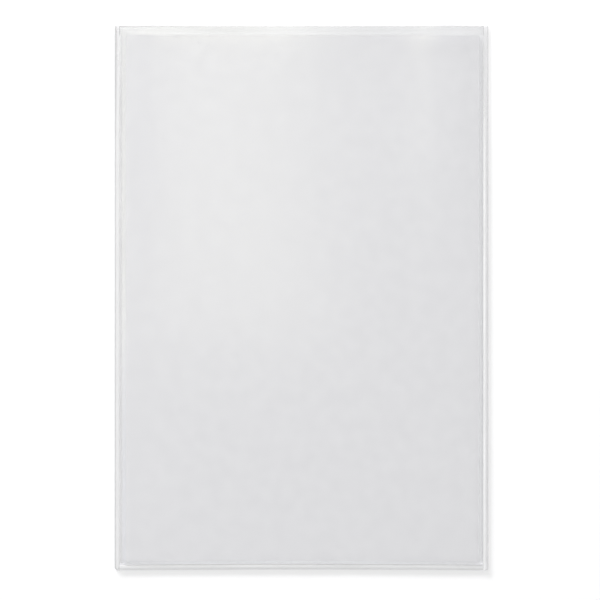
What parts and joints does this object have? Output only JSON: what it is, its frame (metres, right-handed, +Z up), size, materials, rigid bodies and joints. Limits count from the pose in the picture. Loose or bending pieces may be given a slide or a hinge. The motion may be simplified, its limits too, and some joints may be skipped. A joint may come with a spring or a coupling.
{
  "type": "sheet protector",
  "caption": "Flat clear plastic sleeve, welded along its sides and bottom and open at the top, with a plain sheet that slides out through the mouth.",
  "frame": {"origin": "on the surface that the sleeve lies on, under the middle of the sleeve", "axes": "+X across the sleeve to the right, +Y up the sleeve and out of its mouth, +Z up from the surface through the front film"},
  "size_m": [0.1078, 0.157, 0.001],
  "materials": {
    "clear_film": "clear soft film, smooth gloss",
    "weld_bead": "clear soft film melted into a rounded bead, gloss",
    "sheet": "plain uncoated card, matt"
  },
  "bodies": {
    "sleeve": {"back_film": "clear_film", "front_film": "clear_film", "left_weld": "weld_bead", "right_weld": "weld_bead", "bottom_weld": "weld_bead"},
    "sheet": {"insert_sheet": "sheet"}
  },
  "joints": [
    {"name": "sheet_slide", "type": "slide", "parent": "sleeve", "child": "sheet", "axis": [0, 1, 0], "range_m": [0, 0.156]}
  ]
}
